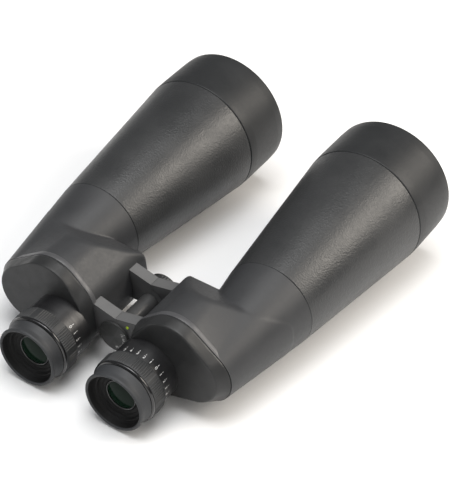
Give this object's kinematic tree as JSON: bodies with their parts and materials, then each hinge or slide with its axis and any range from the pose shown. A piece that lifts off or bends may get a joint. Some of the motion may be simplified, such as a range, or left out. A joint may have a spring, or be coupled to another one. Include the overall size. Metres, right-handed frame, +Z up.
{
  "type": "astronomy binoculars",
  "caption": "Large Porro-prism astronomy binoculars: two tapered barrels on a central folding hinge, with individually focused eyepieces and rubber eyecups.",
  "frame": {"origin": "on the hinge axis, in the tripod socket, level with the front face of the front hinge arm", "axes": "+Y along the hinge towards the objectives, +Z up, +X to the user's right"},
  "size_m": [0.241, 0.3009, 0.0976],
  "materials": {
    "housing_metal": "satin grey-black casting",
    "body_rubber": "smooth matt rubber armour",
    "turned_aluminium": "black anodised",
    "tube_rubber": "finely pebbled satin rubber armour",
    "hood_black": "smooth satin black",
    "crown_glass": "multi-coated",
    "flint_glass": "multi-coated",
    "prism_glass": "polished",
    "eye_glass": "dark green multi-coating",
    "seal_rubber": "smooth",
    "spring_steel": "bright",
    "plate_black": "satin black paint",
    "sleeve_black": "satin black with white scale marks",
    "barrel_black": "semi-gloss black",
    "ring_rubber": "ribbed matt rubber",
    "gloss_black": "gloss black",
    "cup_rubber": "soft matt rubber",
    "brass": "machined",
    "tube_black": "satin black",
    "disc_black": "satin black with white numbers",
    "green_paint": "lime green dot"
  },
  "bodies": {
    "left_barrel": {"left_prism_housing": "housing_metal", "left_body_armour": "body_rubber", "left_objective_tube": "turned_aluminium", "left_tube_armour": "tube_rubber", "left_objective_hood": "hood_black", "left_objective_cell": "turned_aluminium", "left_crown_lens": "crown_glass", "left_flint_lens": "flint_glass", "left_objective_retaining_ring": "turned_aluminium", "left_objective_o_ring": "seal_rubber", "left_prism_shelf": "turned_aluminium", "left_rear_prism": "prism_glass", "left_front_prism": "prism_glass", "left_prism_straps": "spring_steel", "left_strap_screws": "spring_steel", "left_cover_plate": "plate_black", "left_cover_gasket": "seal_rubber", "left_scale_sleeve": "sleeve_black", "left_guide_pin": "spring_steel", "hinge_axle": "spring_steel", "socket_insert": "brass", "hinge_tube": "tube_black", "scale_disc": "disc_black"},
    "left_ocular": {"left_ocular_barrel": "barrel_black", "left_eye_lens": "eye_glass", "left_field_lens": "eye_glass", "left_field_lens_ring": "turned_aluminium", "left_ocular_clamp_ring": "turned_aluminium"},
    "left_focus": {"left_focus_ring": "ring_rubber", "left_collar": "gloss_black", "left_eyecup": "cup_rubber"},
    "right_barrel": {"right_prism_housing": "housing_metal", "right_body_armour": "body_rubber", "right_objective_tube": "turned_aluminium", "right_tube_armour": "tube_rubber", "right_objective_hood": "hood_black", "right_objective_cell": "turned_aluminium", "right_crown_lens": "crown_glass", "right_flint_lens": "flint_glass", "right_objective_retaining_ring": "turned_aluminium", "right_objective_o_ring": "seal_rubber", "right_prism_shelf": "turned_aluminium", "right_rear_prism": "prism_glass", "right_front_prism": "prism_glass", "right_prism_straps": "spring_steel", "right_strap_screws": "spring_steel", "right_cover_plate": "plate_black", "right_cover_gasket": "seal_rubber", "right_scale_sleeve": "sleeve_black", "right_guide_pin": "spring_steel", "index_dot": "green_paint"},
    "right_ocular": {"right_ocular_barrel": "barrel_black", "right_eye_lens": "eye_glass", "right_field_lens": "eye_glass", "right_field_lens_ring": "turned_aluminium", "right_ocular_clamp_ring": "turned_aluminium"},
    "right_focus": {"right_focus_ring": "ring_rubber", "right_collar": "gloss_black", "right_eyecup": "cup_rubber"},
    "socket_cap": {"socket_cap": "gloss_black"}
  },
  "joints": [
    {"name": "barrel_fold", "type": "hinge", "parent": "left_barrel", "child": "right_barrel", "pos_m": [0, 0, 0], "axis": [0, 1, 0], "range_deg": [0, 72]},
    {"name": "left_ocular_travel", "type": "slide", "parent": "left_barrel", "child": "left_ocular", "axis": [0, 1, 0], "range_m": [-0.00249, 0.00249]},
    {"name": "left_focus_turn", "type": "hinge", "parent": "left_ocular", "child": "left_focus", "pos_m": [-0.0354, -0.083, -0.0006], "axis": [0, 1, 0], "range_deg": [-150, 150]},
    {"name": "right_ocular_travel", "type": "slide", "parent": "right_barrel", "child": "right_ocular", "axis": [0, 1, 0], "range_m": [-0.00249, 0.00249]},
    {"name": "right_focus_turn", "type": "hinge", "parent": "right_ocular", "child": "right_focus", "pos_m": [0.0354, -0.083, -0.0006], "axis": [0, 1, 0], "range_deg": [-150, 150]},
    {"name": "cap_unscrew", "type": "slide", "parent": "left_barrel", "child": "socket_cap", "axis": [0, 1, 0], "range_m": [0, 0.07]}
  ],
  "couplings": [
    {"joint": "left_focus_turn", "follows": "left_ocular_travel", "rad_per_m": 1047.2},
    {"joint": "right_focus_turn", "follows": "right_ocular_travel", "rad_per_m": 1047.2}
  ]
}
